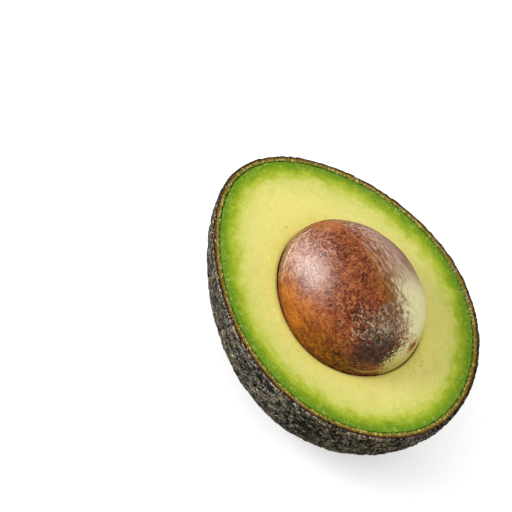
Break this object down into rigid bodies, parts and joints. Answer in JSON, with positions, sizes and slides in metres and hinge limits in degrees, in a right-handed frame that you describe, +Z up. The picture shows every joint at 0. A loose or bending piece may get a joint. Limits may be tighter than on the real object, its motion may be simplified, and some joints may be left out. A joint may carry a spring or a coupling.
{
  "type": "avocado half",
  "caption": "Avocado half, cut lengthwise, lying on its back with the seed in place: dark pebbled peel, green to yellow flesh and a brown seed.",
  "frame": {"origin": "on the surface that the half rests on, under the middle of its box", "axes": "+Z up, square to the cut face; +X towards the narrow stem end, along the fruit; +Y across it"},
  "size_m": [0.0944, 0.0734, 0.0604],
  "materials": {
    "peel": "satin, pebbled, dark green-black",
    "flesh": "moist satin, green at the rim to pale yellow",
    "seed": "satin, mottled red-brown"
  },
  "bodies": {
    "root": {"peel": "peel", "flesh": "flesh", "seed": "seed"}
  },
  "joints": []
}
